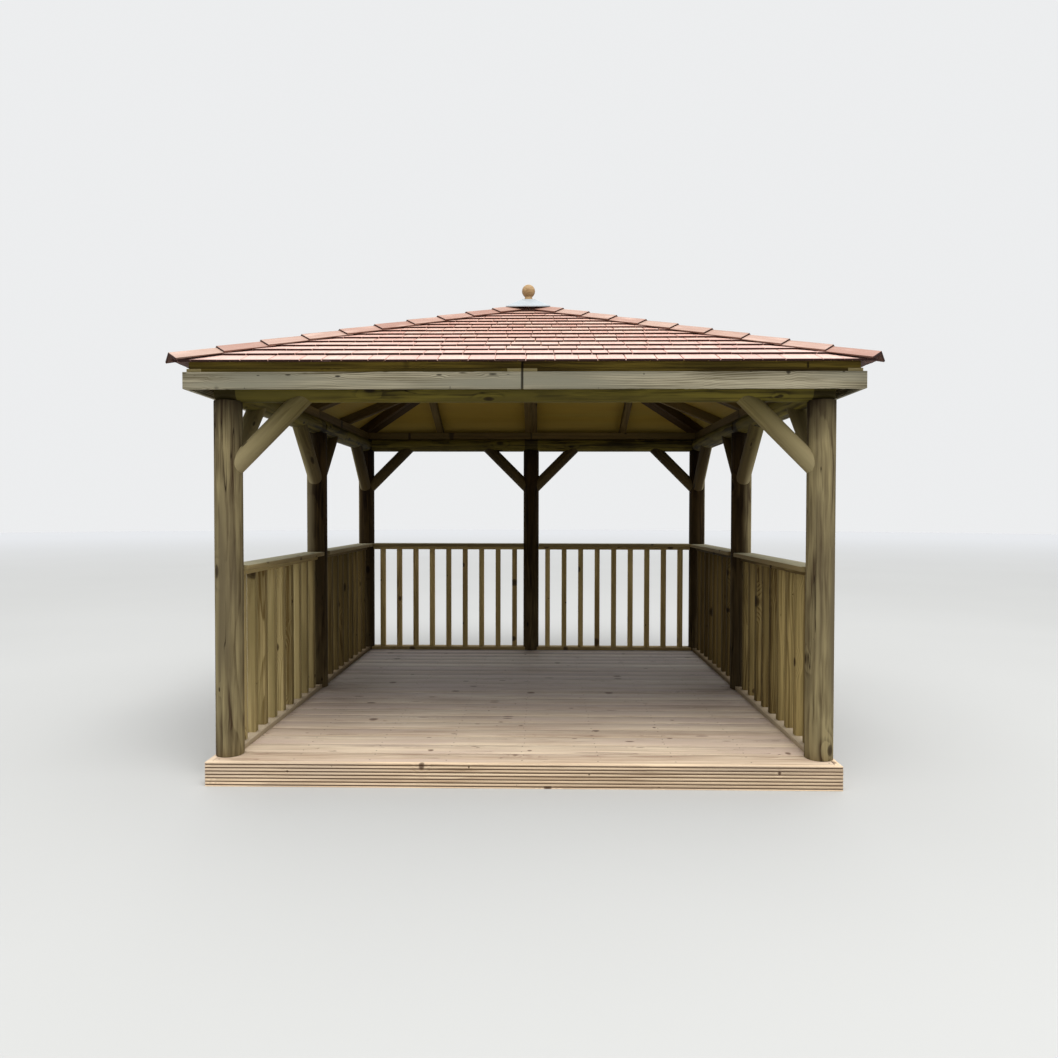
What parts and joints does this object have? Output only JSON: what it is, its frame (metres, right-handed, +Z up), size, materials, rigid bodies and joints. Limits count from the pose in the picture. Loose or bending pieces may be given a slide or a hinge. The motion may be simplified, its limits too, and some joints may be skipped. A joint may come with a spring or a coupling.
{
  "type": "garden gazebo",
  "caption": "Square open timber gazebo: round posts and braces on a boarded deck, balustrades on three sides, and a hipped cedar-shingled roof with a metal cap and ball finial.",
  "frame": {"origin": "on the ground under the middle of the roof", "axes": "+Z up, the open front faces -Y, the deck boards run along X"},
  "size_m": [3.61, 3.61, 3.0604],
  "materials": {
    "joist_timber": "sawn, pressure treated",
    "deck_board": "planed, weathered pinkish tan",
    "reeded_board": "reeded, weathered pinkish tan",
    "post_timber": "round, pressure treated, weathered grey-brown",
    "log_timber": "round, pressure treated",
    "brace_timber": "round, pressure treated",
    "balustrade_timber": "planed, pressure treated",
    "handrail_timber": "planed, weathered grey on top",
    "roof_board": "smooth board",
    "rafter_timber": "planed, dark treated",
    "fascia_timber": "planed, pale grey-beige with knots",
    "frieze_timber": "planed, pressure treated",
    "cedar_shingle": "sawn cedar, pink-red",
    "hip_cap_cedar": "sawn cedar, pink-red",
    "block_timber": "sawn",
    "cap_metal": "dull light blue-grey sheet",
    "finial_timber": "turned, tan"
  },
  "bodies": {
    "root": {"deck_joists": "joist_timber", "deck_boards": "deck_board", "deck_fascia_front": "reeded_board", "deck_fascia_right": "reeded_board", "deck_fascia_back": "reeded_board", "deck_fascia_left": "reeded_board", "post_front_left": "post_timber", "post_front_right": "post_timber", "post_mid_left": "post_timber", "post_mid_right": "post_timber", "post_back_left": "post_timber", "post_back_centre": "post_timber", "post_back_right": "post_timber", "beam_front": "log_timber", "beam_right": "log_timber", "beam_back": "log_timber", "beam_left": "log_timber", "braces_front": "brace_timber", "braces_right": "brace_timber", "braces_back": "brace_timber", "braces_left": "brace_timber", "balustrade_back_left": "balustrade_timber", "balustrade_back_right": "balustrade_timber", "balustrade_left_front": "balustrade_timber", "balustrade_left_back": "balustrade_timber", "balustrade_right_front": "balustrade_timber", "balustrade_right_back": "balustrade_timber", "handrails_back": "handrail_timber", "handrails_left": "handrail_timber", "handrails_right": "handrail_timber", "sheathing_front": "roof_board", "sheathing_right": "roof_board", "sheathing_back": "roof_board", "sheathing_left": "roof_board", "rafters": "rafter_timber", "hip_rafters": "rafter_timber", "eaves_rails": "rafter_timber", "fascia_front": "fascia_timber", "fascia_right": "fascia_timber", "fascia_back": "fascia_timber", "fascia_left": "fascia_timber", "frieze_boards": "frieze_timber", "shingles_front": "cedar_shingle", "shingles_right": "cedar_shingle", "shingles_back": "cedar_shingle", "shingles_left": "cedar_shingle", "hip_caps_front_left": "hip_cap_cedar", "hip_caps_front_right": "hip_cap_cedar", "hip_caps_back_right": "hip_cap_cedar", "hip_caps_back_left": "hip_cap_cedar", "finial_block": "block_timber", "roof_cap": "cap_metal", "finial": "finial_timber"}
  },
  "joints": []
}
